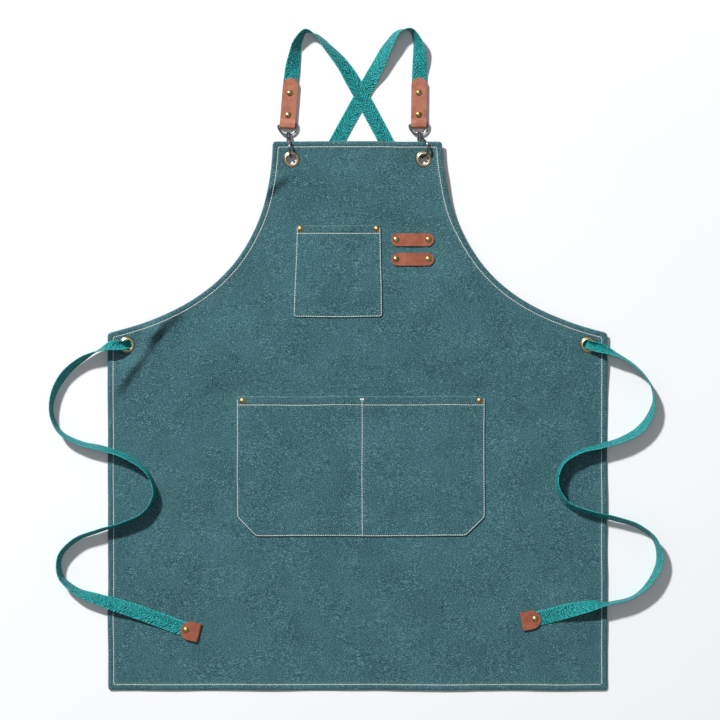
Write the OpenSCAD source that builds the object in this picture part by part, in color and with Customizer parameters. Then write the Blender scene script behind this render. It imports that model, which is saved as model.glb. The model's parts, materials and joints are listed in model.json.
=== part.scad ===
// Cross-back work apron laid flat: a hemmed canvas panel with two patch pockets,
// two leather tool loops, four eyelets and two webbing straps. Each strap starts at a
// leather tab with a swivel bolt snap clipped into a bib eyelet, crosses to the far
// waist eyelet, and ends as a waist tie with a leather tip.
// X runs across the panel, Y towards the bib, Z up. The origin is the middle of the
// panel's underside.

/* [Panel] */
// Width across the skirt
panel_w = 680; // [640:5:720]
// Length from hem to bib top
panel_l = 747; // [747:1:760]
// Width of the bib top
bib_w = 230; // [224:2:236]
// Height of the waist corners above the middle
waist_y = 113; // [112:1:114]
// Canvas thickness
sheet_t = 1.0; // [0.8:0.1:1.2]
// Hem thickness
hem_t = 1.6; // [1.2:0.1:1.7]
// Hem width
hem_w = 9.5; // [8:0.5:11]

/* [Pockets] */
// Pocket cloth thickness
pocket_t = 0.9; // [0.6:0.1:1.2]
// Folded pocket mouth thickness
mouth_t = 1.5; // [1.2:0.1:1.8]
// Cut corner of the lower pocket
pocket_cut = 26; // [10:1:40]

/* [Leather] */
// Tool loop length
loop_len = 58.5; // [56:0.5:64]
// Tool loop width
loop_w = 17.4; // [14:0.2:20]
// Distance between the two rivets of a loop
loop_pitch = 44; // [40:1:46]
// Leather thickness of loops and hook tabs
leather_t = 2.0; // [1.8:0.1:2.1]
// Hook tab width
tab_w = 21; // [20.5:0.1:21.5]
// Hook tab length beyond the eye's bar
tab_len = 64; // [60:1:68]
// Tie end tab width
tip_w = 25; // [23:0.5:27]
// Tie end tab length
tip_len = 26.5; // [24:0.5:30]

/* [Metal] */
// Eyelet hole radius
eyelet_r = 7.0; // [7.0:0.05:7.2]
// Eyelet flange radius
flange_r = 11.25; // [11:0.05:11.5]
// Rivet cap radius
rivet_r = 4.4; // [4:0.1:4.6]
// Wire radius of the swivel eye
eye_wire_r = 1.4; // [1.2:0.05:1.45]
// Wire radius of the snap's arm
arm_r = 1.55; // [1.4:0.05:1.6]
// Bolt radius
bolt_r = 1.2; // [1.1:0.05:1.25]

/* [Webbing] */
// Webbing width
web_w = 20; // [19:0.5:20]
// Webbing thickness
web_t = 1.5; // [1.2:0.1:1.5]

/* [Hidden] */
$fn = 64;

half_w = panel_w / 2;
half_l = panel_l / 2;
slack = 0.05;
lap = 0.1;
tall = 30;

// Height of the panel's underside along Y: flat on the ground at the skirt, raised a
// little at the waist where the webbing passes behind, and more at the bib top, where
// the snaps pass behind.
skirt_h = 0.9;
waist_h = 4.2;
bib_h = 7.0;
underside = [[-400, 0], [4, 0], [12, skirt_h], [30, skirt_h], [75, waist_h],
             [262, waist_h], [330, bib_h], [400, bib_h]];

// Armhole curve, from the bib's corner to the waist's corner
arm_steps = 24;
arm = [[bib_w / 2, half_l], [bib_w / 2 + 5, half_l - 158.5], [205, waist_y + 32],
       [half_w, waist_y]];

// Pockets: corner points of their outlines
chest_pts = [[-88, 134], [34, 134], [32, 259.5], [-83, 259.5]];
chest_mouth_y = 248.5;
lower_left = -165;
lower_right = 174;
lower_bottom = -164;
lower_top = 27;
lower_mouth_y = 15;
lower_rivets = [[-156.5, 20.5], [166.5, 20.5]];
chest_rivets = [[-77.5, 254.5], [26.5, 254.5]];
loop_x = 74.8;
loop_ys = [240, 213.5];
loop_rise = 1.2;
loop_bend = 17;

// Eyelets
bib_eyelet = [90, 349.5];
waist_eyelet = [314, 97];
flange_t = 1.0;
washer_t = 0.8;
barrel_t = 0.6;

// Rivets
cap_h = 1.7;
post_r = 1.9;
back_t = 0.8;
back_r = rivet_r - 0.1;

// Hook tab, measured from the eye's bar
gap_t = web_t + 0.1;
fold_r = 2 * leather_t;
tab_slide = 1.6;
fold_from = 2;
fold_to = 8;
fold_trim = 1.2;
tab_rivet_v = [13, 43];
tab_base = 0;
snap_z = fold_r;
left_bar = [-95.4, 396.5];
right_bar = [83.2, 397];
left_tab_turn = -4.5;
right_tab_turn = -0.7;
left_snap_turn = 5.95;
right_snap_turn = 4.6;
left_roll = 0;
right_roll = -40;

// Swivel eye and bolt snap, measured from the eye's bar towards the snap's tip
eye_r = 12.6;
eye_offset = 1.0;
boss_r = 3.2;
boss_from = 11.7;
boss_to = 15.4;
shank_r = 1.55;
head_r = 2.6;
head_from = 10.3;
head_to = 11.6;
block_r = 3.7;
block_from = 15.5;
block_to = 22.7;
guide_r = 2.2;
guide_to = 31.5;
bore_from = 17;
arm_from = [18.2, 3.5];
arm_climb = 52;
arm_bend = 11;
arm_tip = 44.4;
arm_end = 0.3;
bolt_tail = 26.5;
bolt_tip = 42.3;
bolt_travel = 5;
peg_at = 27.5;
peg_r = 0.8;
peg_len = 3.4;
peg_turn = 115;
bend_u = arm_tip - arm_bend;
arm_top_u = bend_u - arm_bend * sin(arm_climb);
arm_len = (arm_top_u - arm_from.x) / cos(arm_climb);
bend_w = arm_from.y + arm_len * sin(arm_climb) - arm_bend * cos(arm_climb);
coil_r = 0.85;
coil_wire_r = 0.18;
coil_turns = 8;
coil_steps = 12;
coil_sides = 5;

// Tie end tabs
tip_t = 1.6;
tip_base = sheet_t + 0.3;
tip_rivet_v = 7.5;
tip_fold_r = tip_t + (web_t + 0.1) / 2;
left_tip = [-240.5, -289.5];
left_tip_turn = 256;
right_tip = [249.3, -275];
right_tip_turn = 101;

// Strap routes: [x, y, height of what it lies on, roll, fold]. Roll turns the webbing
// about its run, 90 standing on edge. Fold 1 is folded lengthwise, 0 is flat.
in_tab = tab_base + leather_t + slack;
in_tip = tip_base + tip_t + slack;
on_hem = hem_t + 0.3;
left_route = [
    [-94.5, 407.5, in_tab, 0, 0], [-90.3, 461.5, in_tab, 0, 0],
    [-86.5, 486, 0.8, 30, 0], [-80, 512, 0.2, 60, 0], [-70, 524, 0.1, 80, 0],
    [-57, 519, 0.1, 98, 0], [-40, 501, 0.2, 124, 0], [-20, 478, 1.8, 148, 0],
    [-4, 452, 2.8, 170, 0], [15, 418, 2.5, 178, 0], [39, 374, 0.1, 180, 0],
    [72, 305, 0.1, 180, 0], [118, 226, 0.1, 180, 0], [190, 155, 0.1, 180, 0],
    [270, 112, 0.1, 180, 0], [302, 100.5, 0.1, 180, 1], [310, 98, 0.3, 180, 1],
    [314, 97, 3.5, 180, 1], [318, 96, 6.8, 180, 1], [326, 93, 7, 165, 0.9],
    [340, 87.5, 6.2, 122, 0.6], [360, 79, 2.4, 102, 0.1], [381, 65, 0.3, 98, 0],
    [397, 45, 0.1, 95, 0], [403, 24, 0.1, 88, 0], [398, 1, 0.1, 70, 0],
    [383, -19, 0.1, 63, 0], [358, -32.5, 1.4, 70, 0], [330, -41, on_hem, 74, 0],
    [300, -49.5, on_hem, 79, 0], [278, -66, on_hem, 82, 0], [271, -90, on_hem, 80, 0],
    [284, -118, on_hem, 71, 0], [315, -131, on_hem, 72, 0], [350, -139.5, on_hem, 70, 0],
    [384, -151, 0.1, 74, 0], [405, -169, 0.1, 75, 0], [411, -194, 0.1, 68, 0],
    [401, -221, 0.1, 73, 0], [376, -245, 0.2, 86, 0], [344, -254, on_hem, 84, 0],
    [318, -258, on_hem, 48, 0], [285, -265.5, on_hem, 18, 0], [257, -273.1, in_tip, 0, 0],
    [229, -278.6, in_tip, 0, 0]
];
right_route = [
    [83.3, 408, in_tab, 0, 0], [84, 462, in_tab, 0, 0], [84.5, 486, 0.8, -22, 0],
    [81, 512, 0.2, -58, 0], [72, 525.5, 0.1, -82, 0], [58, 524, 0.1, -102, 0],
    [43, 505.5, 0.1, -128, 0], [26, 473.5, 0.1, -154, 0], [12, 447, 0.1, -176, 0],
    [-5, 416, 0.1, -180, 0], [-28, 374, 0.1, -180, 0], [-62, 312, 0.1, -180, 0],
    [-112, 232, 0.1, -180, 0], [-186, 157, 0.1, -180, 0], [-268, 112.5, 0.1, -180, 0],
    [-302, 100.5, 0.1, -180, 1], [-310, 98, 0.3, -180, 1], [-314, 97, 3.5, -180, 1],
    [-318, 96.3, 6.8, -180, 1], [-327, 95.3, 7, -155, 0.8], [-340, 93.3, 6.2, -120, 0.4],
    [-355, 88, 3, -92, 0.1], [-376, 76.5, 0.5, -70, 0], [-399, 56, 0.1, -63, 0],
    [-413, 31, 0.1, -71, 0], [-416.5, 6, 0.1, -79, 0], [-405, -21, 0.1, -78, 0],
    [-378, -36.5, 0.1, -74, 0], [-346, -44, on_hem, -72, 0], [-312, -56.5, on_hem, -73, 0],
    [-285, -78, on_hem, -79, 0], [-276, -104, on_hem, -80, 0], [-289, -130, on_hem, -82, 0],
    [-318, -145, on_hem, -82, 0], [-352, -156, 1.4, -76, 0], [-386, -170, 0.1, -74, 0],
    [-405, -192, 0.1, -75, 0], [-404, -217, 0.1, -73, 0], [-384, -237, 0.1, -65, 0],
    [-352, -249.5, 1.4, -43, 0], [-310, -263, on_hem, -20, 0], [-272, -276.5, on_hem, -8, 0],
    [-247, -286, in_tip, 0, 0], [-220, -294.3, in_tip, 0, 0]
];
fold_w = 9.5;
fold_t = 1.2;
edge_cut = 0.4;

canvas_colour = "#4f7b80";
webbing_colour = "#12998c";
leather_colour = "#a8593a";
brass_colour = "#8a7340";
steel_colour = "#b9bcc0";

// ---------- shared functions ----------

function arm_pt(t) = pow(1 - t, 3) * arm[0] + 3 * pow(1 - t, 2) * t * arm[1]
    + 3 * (1 - t) * t * t * arm[2] + pow(t, 3) * arm[3];
function arm_dir(t) = unit((1 - t) * (1 - t) * (arm[1] - arm[0])
    + 2 * (1 - t) * t * (arm[2] - arm[1]) + t * t * (arm[3] - arm[2]));
function unit(v) = v / norm(v);
function inward(t) = [arm_dir(t).y, -arm_dir(t).x];
function arm_inset(t, d) = arm_pt(t) + d * inward(t);
function side_y(d) = arm_inset(1, d).y
    + (half_w - d - arm_inset(1, d).x) * arm_dir(1).y / arm_dir(1).x;
function arm_run(d) = [
    for (i = [0:arm_steps])
        let (p = arm_inset(i / arm_steps, d))
            if (p.y < half_l - d - 0.5 && p.x < half_w - d - 0.5) p
];
function half_outline(d) = concat(
    [[half_w - d, -half_l + d], [half_w - d, side_y(d)]],
    [for (i = [len(arm_run(d)) - 1:-1:0]) arm_run(d)[i]],
    [[bib_w / 2 - d, half_l - d]]);
function outline(d) = concat(half_outline(d),
    [for (i = [len(half_outline(d)) - 1:-1:0]) [-half_outline(d)[i].x, half_outline(d)[i].y]]);
function under(y) = lookup(y, underside);

// Strap cross-section frames
function station(route, i) =
    let (r = route[i], w = web_w - fold_w * r[4], t = web_t + fold_t * r[4])
        [r.x, r.y, r.z + abs(sin(r[3])) * w / 2 + abs(cos(r[3])) * t / 2];
function run_dir(route, i) =
    unit(station(route, min(i + 1, len(route) - 1)) - station(route, max(i - 1, 0)));
function strap_ring(route, i) =
    let (
        r = route[i],
        w = (web_w - fold_w * r[4]) / 2,
        t = (web_t + fold_t * r[4]) / 2,
        run = run_dir(route, i),
        across = unit(cross([0, 0, 1], run)),
        up = cross(run, across),
        wide = cos(r[3]) * across + sin(r[3]) * up,
        face = cross(run, wide)
    )
    [for (q = [[-w, edge_cut - t], [edge_cut - w, -t], [w - edge_cut, -t], [w, edge_cut - t],
               [w, t - edge_cut], [w - edge_cut, t], [edge_cut - w, t], [-w, t - edge_cut]])
        station(route, i) + q.x * wide + q.y * face];

// ---------- shared modules ----------

// A flat layer that follows the panel's underside, at a height above it
module laid(base, thick) {
    intersection() {
        linear_extrude(tall) children();
        rotate([90, 0, 90])
            linear_extrude(panel_w + 2, center = true)
                polygon(concat(
                    [for (p = underside) p + [0, base]],
                    [for (i = [len(underside) - 1:-1:0]) underside[i] + [0, base + thick]]));
    }
}

// A tube of rings; each ring has the same number of points
module skin(rings) {
    sides = len(rings[0]);
    last = len(rings) - 1;
    polyhedron(
        points = [for (r = rings) for (p = r) p],
        faces = concat(
            [[for (j = [0:sides - 1]) j]],
            [for (i = [0:last - 1]) for (j = [0:sides - 1])
                let (k = (j + 1) % sides) [i * sides + j, (i + 1) * sides + j, i * sides + k]],
            [for (i = [0:last - 1]) for (j = [0:sides - 1])
                let (k = (j + 1) % sides)
                    [i * sides + k, (i + 1) * sides + j, (i + 1) * sides + k]],
            [[for (j = [sides - 1:-1:0]) last * sides + j]]));
}

module strap(route) {
    skin([for (i = [0:len(route) - 1]) strap_ring(route, i)]);
}

// Domed cap with its post, standing on z = 0
module rivet(depth) {
    ball = (rivet_r * rivet_r + cap_h * cap_h) / (2 * cap_h);
    intersection() {
        translate([0, 0, cap_h - ball]) sphere(ball);
        cylinder(r = rivet_r, h = cap_h);
    }
    translate([0, 0, -depth]) cylinder(r = post_r, h = depth);
}

// Back cap: a washer that the post is set into, with its top at z = 0
module rivet_back() {
    translate([0, 0, -back_t])
        difference() {
            cylinder(r = back_r, h = back_t);
            translate([0, 0, -1]) cylinder(r = post_r + slack, h = back_t + 2);
        }
}

module post_hole() {
    cylinder(r = post_r + 2 * slack, h = tall, center = true);
}

// Eyelet: rolled flange on the face of the cloth and a barrel through it
module eyelet(at) {
    rolled = flange_t / 2;
    translate([at.x, at.y, under(at.y) + sheet_t])
        rotate_extrude() {
            translate([eyelet_r + rolled, 0]) square([flange_r - eyelet_r - flange_t, flange_t]);
            translate([eyelet_r + rolled, rolled]) circle(rolled);
            translate([flange_r - rolled, rolled]) circle(rolled);
            translate([eyelet_r, -sheet_t - washer_t])
                square([barrel_t, sheet_t + washer_t + rolled]);
        }
}

module washer(at) {
    translate([at.x, at.y, under(at.y) - washer_t])
        difference() {
            cylinder(r = flange_r, h = washer_t);
            translate([0, 0, -1]) cylinder(r = eyelet_r + barrel_t + slack, h = washer_t + 2);
        }
}

module both_sides(at) {
    for (side = [-1, 1]) translate([side * at.x, at.y]) children();
}

module tool_loop(y) {
    bend = [for (x = [-loop_bend:loop_bend / 6:loop_bend])
        [x, loop_rise * (0.5 + 0.5 * cos(180 * x / loop_bend))]];
    translate([loop_x, y, waist_h + sheet_t])
        difference() {
            intersection() {
                rotate([90, 0, 0])
                    linear_extrude(loop_w, center = true)
                        polygon(concat([[-loop_len / 2, 0]], bend, [[loop_len / 2, 0]],
                            [[loop_len / 2, leather_t]],
                            [for (i = [len(bend) - 1:-1:0]) bend[i] + [0, leather_t]],
                            [[-loop_len / 2, leather_t]]));
                linear_extrude(tall) {
                    square([loop_len - loop_w, loop_w], center = true);
                    for (s = [-1, 1]) translate([s * (loop_len - loop_w) / 2, 0]) circle(d = loop_w);
                }
            }
            for (s = [-1, 1]) translate([s * loop_pitch / 2, 0]) post_hole();
        }
}

// Frame of a hook tab: +Y runs up the tab from the eye's bar
module tab_frame(bar, turn) {
    translate([bar.x, bar.y, tab_base]) rotate([0, 0, turn]) children();
}

// Frame of a snap: +Y runs from the eye's bar to the snap's tip, +Z through the arm
module snap_frame(bar, turn, roll) {
    translate([bar.x, bar.y, snap_z]) rotate([0, roll, 180 + turn]) children();
}

module rod(from, to, r) {
    translate([0, from, 0]) rotate([-90, 0, 0]) cylinder(r = r, h = to - from);
}

module hook_tab() {
    thin = 2 * leather_t + gap_t;
    difference() {
        intersection() {
            rotate([90, 0, 90])
                linear_extrude(tab_w, center = true) {
                    translate([-tab_slide, 0]) square([tab_len + tab_slide, leather_t]);
                    polygon([[-tab_slide, 2 * fold_r - leather_t],
                             [fold_from, 2 * fold_r - leather_t],
                             [fold_to, leather_t + gap_t], [tab_len, leather_t + gap_t],
                             [tab_len, thin], [fold_to, thin], [fold_from, 2 * fold_r],
                             [-tab_slide, 2 * fold_r]]);
                    translate([-tab_slide, fold_r])
                        difference() {
                            circle(fold_r);
                            circle(fold_r - leather_t);
                            translate([0, -tall]) square(2 * tall);
                        }
                }
            linear_extrude(tall) {
                polygon([[fold_trim - tab_w / 2, -fold_r - tab_slide],
                         [tab_w / 2 - fold_trim, -fold_r - tab_slide],
                         [tab_w / 2, -tab_slide], [tab_w / 2, tab_len - tab_w / 2],
                         [-tab_w / 2, tab_len - tab_w / 2], [-tab_w / 2, -tab_slide]]);
                translate([0, tab_len - tab_w / 2]) circle(d = tab_w);
            }
        }
        for (v = tab_rivet_v)
            translate([0, v]) {
                post_hole();
                translate([0, 0, -1]) cylinder(r = rivet_r, h = back_t + 1.1);
            }
    }
}

module tab_rivets() {
    top = 2 * leather_t + gap_t;
    for (v = tab_rivet_v) translate([0, v, top]) rivet(top - 0.1);
}

module tab_backs() {
    for (v = tab_rivet_v) translate([0, v, back_t + 0.1]) rivet_back();
}

module swivel_eye() {
    rotate([0, 90, 0]) cylinder(r = eye_wire_r, h = 2 * eye_r, center = true);
    for (s = [-1, 1]) {
        translate([s * eye_r, 0, 0]) sphere(eye_wire_r);
        translate([s * eye_r, 0, 0]) rod(0, eye_offset, eye_wire_r);
    }
    difference() {
        union() {
            translate([0, eye_offset, 0])
                rotate_extrude(angle = 180) translate([eye_r, 0]) circle(eye_wire_r, $fn = 32);
            rod(boss_from, boss_to, boss_r);
        }
        rod(boss_from - 3, boss_to + 1, shank_r + slack);
    }
}

module snap_body() {
    difference() {
        union() {
            rod(head_from, head_to, head_r);
            rod(head_to - lap, block_from + lap, shank_r);
            rod(block_from, block_to, block_r);
            rod(block_to - lap, guide_to, guide_r);
            translate([0, arm_from.x, arm_from.y])
                rotate([arm_climb - 90, 0, 0]) cylinder(r = arm_r + slack, h = arm_len + 3 * lap);
            translate([0, bend_u, bend_w])
                rotate([90, 0, 90])
                    rotate_extrude(angle = 90 + arm_climb)
                        translate([arm_bend, 0]) circle(arm_r, $fn = 32);
            translate([0, arm_tip, arm_end]) {
                cylinder(r = arm_r + slack, h = bend_w - arm_end + 3 * lap);
                sphere(arm_r + slack);
            }
        }
        rod(bore_from, guide_to + 1, bolt_r + slack);
        rotate([0, peg_turn, 0])
            translate([-peg_r - 0.15, peg_at - bolt_travel - peg_r - 0.2, 0])
                cube([2 * peg_r + 0.3, bolt_travel + 2 * peg_r + 0.4, 5]);
    }
}

module snap_bolt() {
    rod(bolt_tail, bolt_tip - bolt_r / 2, bolt_r);
    rod(bolt_tip - bolt_r / 2 - lap, bolt_tip, bolt_r * 0.8);
    rotate([0, peg_turn, 0]) translate([0, peg_at, 0]) cylinder(r = peg_r, h = peg_len);
}

module bolt_spring() {
    from = bore_from + coil_wire_r + slack;
    rise = bolt_tail - bore_from - 2 * coil_wire_r - 4 * slack;
    count = coil_turns * coil_steps;
    skin([for (i = [0:count])
        let (a = 360 * i / coil_steps, y = from + rise * i / count)
            [for (j = [coil_sides - 1:-1:0])
                let (b = 360 * j / coil_sides, r = coil_r + coil_wire_r * cos(b))
                    [r * cos(a), y + coil_wire_r * sin(b), r * sin(a)]]]);
}

// Tie end tab: +Y runs from the rounded end to the fold
module end_tab() {
    inner = tip_fold_r - tip_t;
    difference() {
        intersection() {
            rotate([90, 0, 90])
                linear_extrude(tip_w, center = true) {
                    square([tip_len - tip_fold_r, tip_t]);
                    translate([0, tip_t + 2 * inner]) square([tip_len - tip_fold_r, tip_t]);
                    translate([tip_len - tip_fold_r, tip_fold_r])
                        difference() {
                            circle(tip_fold_r);
                            circle(inner);
                            translate([-2 * tall, -tall]) square(2 * tall);
                        }
                }
            linear_extrude(tall) {
                translate([-tip_w / 2, tip_w / 2]) square([tip_w, tip_len]);
                translate([0, tip_w / 2]) circle(d = tip_w);
            }
        }
        translate([0, tip_rivet_v]) {
            post_hole();
            translate([0, 0, -1]) cylinder(r = rivet_r, h = back_t + 1.1);
        }
    }
}

module tip_frame(at, turn) {
    translate([at.x, at.y, tip_base]) rotate([0, 0, turn]) children();
}

module end_rivet() {
    top = 2 * tip_t + gap_t;
    translate([0, tip_rivet_v, top]) rivet(top - 0.1);
}

module end_rivet_back() {
    translate([0, tip_rivet_v, back_t + 0.1]) rivet_back();
}

// ---------- nodes ----------

module apron_panel() {
    color(canvas_colour)
        difference() {
            union() {
                laid(0, sheet_t) polygon(outline(0));
                laid(0, hem_t)
                    difference() {
                        polygon(outline(0));
                        polygon(outline(hem_w));
                    }
            }
            both_sides(bib_eyelet) cylinder(r = eyelet_r + barrel_t + slack, h = tall);
            both_sides(waist_eyelet) cylinder(r = eyelet_r + barrel_t + slack, h = tall);
            // the hem is pressed flat under the bib eyelets and the waist eyelets
            for (p = [bib_eyelet, waist_eyelet])
                translate([0, 0, under(p.y) + sheet_t])
                    both_sides(p) cylinder(r = flange_r + slack, h = tall);
            for (p = concat(chest_rivets, lower_rivets)) translate(p) post_hole();
            for (y = loop_ys) for (s = [-1, 1])
                translate([loop_x + s * loop_pitch / 2, y]) post_hole();
        }
}

module chest_pocket() {
    color(canvas_colour)
        difference() {
            union() {
                laid(sheet_t, pocket_t) polygon(chest_pts);
                laid(sheet_t, mouth_t)
                    intersection() {
                        polygon(chest_pts);
                        translate([-half_w, chest_mouth_y]) square([panel_w, half_l]);
                    }
            }
            for (p = chest_rivets) translate(p) post_hole();
        }
}

module lower_pocket() {
    pts = [[lower_left + pocket_cut, lower_bottom], [lower_right - pocket_cut, lower_bottom],
           [lower_right, lower_bottom + pocket_cut], [lower_right, lower_top],
           [lower_left, lower_top], [lower_left, lower_bottom + pocket_cut]];
    color(canvas_colour)
        difference() {
            union() {
                laid(sheet_t, pocket_t) polygon(pts);
                laid(sheet_t, mouth_t)
                    translate([lower_left, lower_mouth_y])
                        square([lower_right - lower_left, lower_top - lower_mouth_y]);
            }
            for (p = lower_rivets) translate(p) post_hole();
        }
}

module upper_tool_loop() {
    color(leather_colour) tool_loop(loop_ys[0]);
}

module lower_tool_loop() {
    color(leather_colour) tool_loop(loop_ys[1]);
}

module loop_rivets() {
    stack = sheet_t + leather_t + back_t;
    color(brass_colour)
        for (y = loop_ys) for (s = [-1, 1])
            translate([loop_x + s * loop_pitch / 2, y, waist_h + sheet_t + leather_t])
                rivet(stack);
}

module pocket_rivets(places) {
    color(brass_colour)
        for (p = places)
            translate([p.x, p.y, under(p.y) + sheet_t + mouth_t])
                rivet(sheet_t + mouth_t + back_t);
}

module chest_pocket_rivets() {
    pocket_rivets(chest_rivets);
}

module lower_pocket_rivets() {
    pocket_rivets(lower_rivets);
}

module panel_rivet_backs() {
    color(brass_colour) {
        for (p = concat(chest_rivets, lower_rivets))
            translate([p.x, p.y, under(p.y)]) rivet_back();
        for (y = loop_ys) for (s = [-1, 1])
            translate([loop_x + s * loop_pitch / 2, y, waist_h]) rivet_back();
    }
}

module left_bib_eyelet() {
    color(brass_colour) eyelet([-bib_eyelet.x, bib_eyelet.y]);
}

module right_bib_eyelet() {
    color(brass_colour) eyelet(bib_eyelet);
}

module left_waist_eyelet() {
    color(brass_colour) eyelet([-waist_eyelet.x, waist_eyelet.y]);
}

module right_waist_eyelet() {
    color(brass_colour) eyelet(waist_eyelet);
}

module eyelet_washers() {
    color(brass_colour)
        for (p = [bib_eyelet, waist_eyelet]) for (side = [-1, 1]) washer([side * p.x, p.y]);
}

module left_strap() {
    color(webbing_colour) strap(left_route);
}

module right_strap() {
    color(webbing_colour) strap(right_route);
}

module left_hook_tab() {
    color(leather_colour) tab_frame(left_bar, left_tab_turn) hook_tab();
}

module right_hook_tab() {
    color(leather_colour) tab_frame(right_bar, right_tab_turn) hook_tab();
}

module left_tab_rivets() {
    color(brass_colour) tab_frame(left_bar, left_tab_turn) tab_rivets();
}

module right_tab_rivets() {
    color(brass_colour) tab_frame(right_bar, right_tab_turn) tab_rivets();
}

module left_tab_rivet_backs() {
    color(brass_colour) tab_frame(left_bar, left_tab_turn) tab_backs();
}

module right_tab_rivet_backs() {
    color(brass_colour) tab_frame(right_bar, right_tab_turn) tab_backs();
}

module left_swivel_eye() {
    color(steel_colour) snap_frame(left_bar, left_snap_turn, 0) swivel_eye();
}

module right_swivel_eye() {
    color(steel_colour) snap_frame(right_bar, right_snap_turn, 0) swivel_eye();
}

module left_hook() {
    color(steel_colour) snap_frame(left_bar, left_snap_turn, left_roll) snap_body();
}

module right_hook() {
    color(steel_colour) snap_frame(right_bar, right_snap_turn, right_roll) snap_body();
}

module left_bolt() {
    color(steel_colour) snap_frame(left_bar, left_snap_turn, left_roll) snap_bolt();
}

module right_bolt() {
    color(steel_colour) snap_frame(right_bar, right_snap_turn, right_roll) snap_bolt();
}

module left_bolt_spring() {
    color(steel_colour) snap_frame(left_bar, left_snap_turn, left_roll) bolt_spring();
}

module right_bolt_spring() {
    color(steel_colour) snap_frame(right_bar, right_snap_turn, right_roll) bolt_spring();
}

module left_end_tab() {
    color(leather_colour) tip_frame(left_tip, left_tip_turn) end_tab();
}

module right_end_tab() {
    color(leather_colour) tip_frame(right_tip, right_tip_turn) end_tab();
}

module left_end_rivet() {
    color(brass_colour) tip_frame(left_tip, left_tip_turn) end_rivet();
}

module right_end_rivet() {
    color(brass_colour) tip_frame(right_tip, right_tip_turn) end_rivet();
}

module left_end_rivet_back() {
    color(brass_colour) tip_frame(left_tip, left_tip_turn) end_rivet_back();
}

module right_end_rivet_back() {
    color(brass_colour) tip_frame(right_tip, right_tip_turn) end_rivet_back();
}

apron_panel();
chest_pocket();
lower_pocket();
upper_tool_loop();
lower_tool_loop();
loop_rivets();
chest_pocket_rivets();
lower_pocket_rivets();
panel_rivet_backs();
left_bib_eyelet();
right_bib_eyelet();
left_waist_eyelet();
right_waist_eyelet();
eyelet_washers();
left_strap();
right_strap();
left_hook_tab();
right_hook_tab();
left_tab_rivets();
right_tab_rivets();
left_tab_rivet_backs();
right_tab_rivet_backs();
left_swivel_eye();
right_swivel_eye();
left_hook();
right_hook();
left_bolt();
right_bolt();
left_bolt_spring();
right_bolt_spring();
left_end_tab();
right_end_tab();
left_end_rivet();
right_end_rivet();
left_end_rivet_back();
right_end_rivet_back();
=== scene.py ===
import json
import math

import bpy
import numpy as np
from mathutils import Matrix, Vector, geometry


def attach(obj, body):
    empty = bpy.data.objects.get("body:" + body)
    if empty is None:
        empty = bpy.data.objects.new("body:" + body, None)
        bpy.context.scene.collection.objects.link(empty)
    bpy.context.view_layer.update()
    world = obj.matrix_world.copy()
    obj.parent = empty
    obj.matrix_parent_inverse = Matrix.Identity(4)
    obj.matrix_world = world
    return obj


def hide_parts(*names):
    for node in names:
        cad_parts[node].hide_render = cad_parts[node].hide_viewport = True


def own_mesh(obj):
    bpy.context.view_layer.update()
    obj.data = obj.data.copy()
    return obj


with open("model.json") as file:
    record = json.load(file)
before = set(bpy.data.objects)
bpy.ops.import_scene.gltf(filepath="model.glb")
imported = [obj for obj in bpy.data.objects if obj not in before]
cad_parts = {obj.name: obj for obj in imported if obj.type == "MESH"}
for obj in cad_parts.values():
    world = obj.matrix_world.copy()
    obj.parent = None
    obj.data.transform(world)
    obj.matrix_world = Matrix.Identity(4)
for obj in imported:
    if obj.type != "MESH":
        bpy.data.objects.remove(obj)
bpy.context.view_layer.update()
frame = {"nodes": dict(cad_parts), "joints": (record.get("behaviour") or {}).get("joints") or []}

# Cross-back work apron laid flat, seen from straight above. Metres, in the CAD frame:
# X across the panel, Y towards the bib, Z up, the origin in the middle of the underside.

nodes = frame["nodes"]

# ---------- sizes shared with the CAD part ----------

HALF_W, HALF_L = 0.34, 0.3735
BIB_HALF = 0.115
WAIST_Y = 0.113
UNDERSIDE_Y = (-0.4, 0.004, 0.012, 0.03, 0.075, 0.262, 0.33, 0.4)
UNDERSIDE_Z = (0, 0, 0.0009, 0.0009, 0.0042, 0.0042, 0.007, 0.007)
SHEET_T = 0.001
MOUTH_T = 0.0015
BIB_EYELETS = ((-0.09, 0.3495), (0.09, 0.3495))
WAIST_EYELETS = ((-0.314, 0.097), (0.314, 0.097))
CHEST_CORNERS = ((-0.088, 0.134), (0.034, 0.134), (0.032, 0.2595), (-0.083, 0.2595))
CHEST_RIVETS = ((-0.0775, 0.2545), (0.0265, 0.2545))
CHEST_MOUTH_Y = 0.2485
LOWER_LEFT, LOWER_RIGHT, LOWER_BOTTOM, LOWER_TOP = -0.165, 0.174, -0.164, 0.027
LOWER_CUT = 0.026
LOWER_RIVETS = ((-0.1565, 0.0205), (0.1665, 0.0205))
LOWER_MOUTH_Y = 0.015
DIVIDER_X = 0.0065
DIVIDER_TOP = LOWER_TOP - 0.0035
LOOP_RIVETS = ((0.0528, 0.24), (0.0968, 0.24), (0.0528, 0.2135), (0.0968, 0.2135))
WEB_W, WEB_T = 0.02, 0.0015

# Heights that the straps lie at: in the hook tabs, in the tie tips and on the panel's hem
IN_TAB = 0.00205
IN_TIP = 0.00295
ON_HEM = 0.0019

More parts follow.
